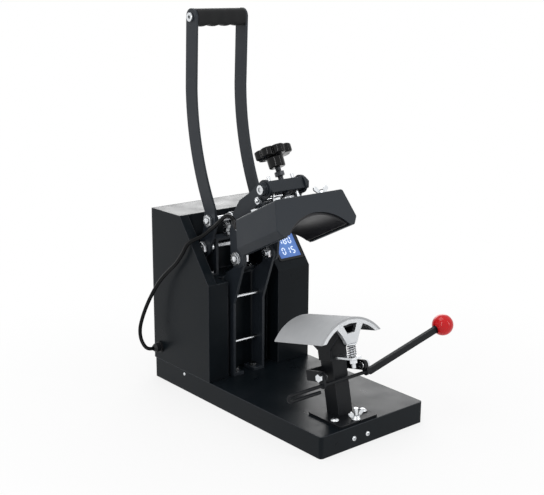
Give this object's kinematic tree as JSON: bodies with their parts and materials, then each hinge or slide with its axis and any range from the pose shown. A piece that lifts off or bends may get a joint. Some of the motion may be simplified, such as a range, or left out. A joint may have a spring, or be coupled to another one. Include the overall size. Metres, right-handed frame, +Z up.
{
  "type": "cap heat press",
  "caption": "Clamshell press with a tilting curved heated head, a curved lower platen on a post, a two-bar lever handle and a boxed controller on a flat base.",
  "frame": {"origin": "middle of the flat underside of the base, on the surface that the press stands on", "axes": "+Z up; -Y is the front, where the platens face the user; +X is the side of the display and the ball lever"},
  "size_m": [0.312, 0.4096, 0.5845],
  "materials": {
    "black_coat": "satin",
    "zinc": "bright zinc",
    "black_plastic": "matt",
    "cable_rubber": "satin",
    "knob_bakelite": "gloss",
    "screen_blue": "gloss",
    "board_green": "satin",
    "platen_coating": "dark non-stick coating",
    "heater_steel": "heat-tinted",
    "cast_aluminium": "satin",
    "pad_silicone": "matt",
    "ball_red": "gloss",
    "key_grey": "satin",
    "rocker_red": "gloss"
  },
  "bodies": {
    "frame": {"base_tray": "black_coat", "base_plate": "zinc", "frame_screws": "zinc", "housing": "black_coat", "rear_panel": "black_coat", "display_bezel": "black_plastic", "display_screen": "screen_blue", "control_board": "board_green", "power_inlet": "black_plastic", "cable_gland": "black_plastic", "head_cable_lower": "cable_rubber", "tower_left": "black_coat", "tower_right": "black_coat", "tower_rods": "zinc", "frame_bolts": "zinc", "pivot_bolts": "zinc", "handle_bracket": "black_coat", "stop_bolt": "zinc", "handle_shaft": "zinc", "foot_bolts": "zinc"},
    "handle": {"handle_bar_left": "black_coat", "handle_bar_right": "black_coat", "crank_plates": "black_coat", "cross_shaft": "zinc", "handle_grip": "black_plastic", "grip_screws": "zinc"},
    "link": {"drive_link": "black_coat", "link_pins": "zinc"},
    "arm": {"arm_left": "black_coat", "arm_right": "black_coat", "arm_ties": "zinc"},
    "trunnion": {"trunnion_bar": "black_coat"},
    "head": {"hood": "black_coat", "heating_platen": "platen_coating", "heater_element": "heater_steel", "hood_nuts": "zinc", "swivel_collar": "zinc", "guide_rods": "zinc", "hood_gland": "black_plastic", "head_cable_upper": "cable_rubber"},
    "hood_wing": {"hood_wing_nut": "zinc"},
    "spindle": {"spindle": "zinc", "star_knob": "knob_bakelite"},
    "holder": {"lower_platen": "cast_aluminium", "silicone_pad": "pad_silicone", "support_post": "black_coat", "post_head": "black_coat", "post_foot": "black_coat", "platen_stud": "zinc", "stud_spring": "zinc", "lever_bracket": "black_coat"},
    "lever": {"bail": "black_coat", "lever_bar": "black_coat", "ball_knob": "ball_red", "lever_bolts": "zinc"},
    "wing_nut": {"wing_nut": "zinc"},
    "key_left": {"key_left": "key_grey"},
    "key_middle": {"key_middle": "key_grey"},
    "key_right": {"key_right": "key_grey"},
    "rocker": {"power_rocker": "rocker_red"}
  },
  "joints": [
    {"name": "handle_fold", "type": "hinge", "parent": "frame", "child": "handle", "pos_m": [-0.024, 0.105, 0.229], "axis": [1, 0, 0], "range_deg": [0, 95]},
    {"name": "arm_fold", "type": "hinge", "parent": "frame", "child": "arm", "pos_m": [-0.024, 0.036, 0.224], "axis": [1, 0, 0], "range_deg": [0, 60.6]},
    {"name": "link_turn", "type": "hinge", "parent": "handle", "child": "link", "pos_m": [-0.024, 0.08597, 0.27448], "axis": [1, 0, 0], "range_deg": [-120.7, 0]},
    {"name": "head_float", "type": "hinge", "parent": "arm", "child": "trunnion", "pos_m": [-0.024, -0.0281, 0.3387], "axis": [1, 0, 0], "range_deg": [-46.4, 0]},
    {"name": "head_travel", "type": "slide", "parent": "trunnion", "child": "head", "axis": [0, 0.4415, 0.8973], "range_m": [-0.0025, 0.0025]},
    {"name": "knob_turn", "type": "hinge", "parent": "head", "child": "spindle", "pos_m": [-0.024, -0.04003, 0.31448], "axis": [0, 0.4415, 0.8973], "range_deg": [-720, 720]},
    {"name": "holder_slide", "type": "slide", "parent": "frame", "child": "holder", "axis": [0, 1, 0], "range_m": [-0.005, 0.005]},
    {"name": "lever_turn", "type": "hinge", "parent": "holder", "child": "lever", "pos_m": [-0.024, -0.16049, 0.09767], "axis": [1, 0, 0], "range_deg": [-75, 18]},
    {"name": "hood_wing_nut_turn", "type": "hinge", "parent": "head", "child": "hood_wing", "pos_m": [0.018, -0.06374, 0.3306], "axis": [0, 0.4415, 0.8973], "range_deg": [-360, 360]},
    {"name": "wing_nut_turn", "type": "hinge", "parent": "frame", "child": "wing_nut", "pos_m": [-0.024, -0.188, 0.04], "axis": [0, 0, 1], "range_deg": [-360, 360]},
    {"name": "key_left_press", "type": "slide", "parent": "frame", "child": "key_left", "axis": [0, 0.7939, -0.6081], "range_m": [0, 0.0008], "stiffness_N_per_m": 400, "springref_m": -0.0005},
    {"name": "key_middle_press", "type": "slide", "parent": "frame", "child": "key_middle", "axis": [0, 0.7939, -0.6081], "range_m": [0, 0.0008], "stiffness_N_per_m": 400, "springref_m": -0.0005},
    {"name": "key_right_press", "type": "slide", "parent": "frame", "child": "key_right", "axis": [0, 0.7939, -0.6081], "range_m": [0, 0.0008], "stiffness_N_per_m": 400, "springref_m": -0.0005},
    {"name": "rocker_press", "type": "hinge", "parent": "frame", "child": "rocker", "pos_m": [0.024, 0.2, 0.066], "axis": [1, 0, 0], "range_deg": [-16, 0]}
  ],
  "couplings": [
    {"joint": "arm_fold", "follows": "handle_fold", "ratio": 0.63768},
    {"joint": "head_float", "follows": "handle_fold", "ratio": -0.4882},
    {"joint": "link_turn", "follows": "handle_fold", "ratio": -1.2702},
    {"joint": "knob_turn", "follows": "head_travel", "rad_per_m": 5026.5}
  ]
}
